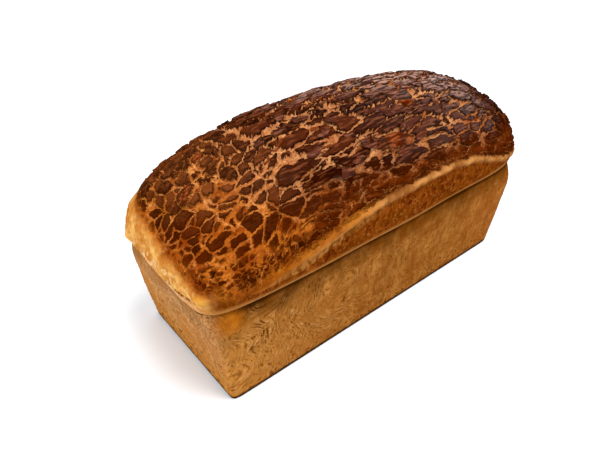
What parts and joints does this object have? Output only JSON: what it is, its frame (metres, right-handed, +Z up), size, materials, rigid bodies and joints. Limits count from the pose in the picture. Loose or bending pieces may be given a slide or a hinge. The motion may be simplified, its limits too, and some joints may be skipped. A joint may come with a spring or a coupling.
{
  "type": "tin loaf",
  "caption": "Long tin-baked loaf: tapered flat-sided lower part, rolled lip, torn smooth band and a high dome with a crackled crust.",
  "frame": {"origin": "middle of the flat underside", "axes": "+Z up, X along the loaf, Y across it; the long side seen in the picture faces -Y and the end seen faces -X"},
  "size_m": [0.2934, 0.1164, 0.1478],
  "materials": {
    "crust": "baked bread crust: tan tin-baked sides, golden torn band under the crust, dark brown crackled plates over golden cracks on the dome"
  },
  "bodies": {
    "root": {"loaf": "crust"}
  },
  "joints": []
}
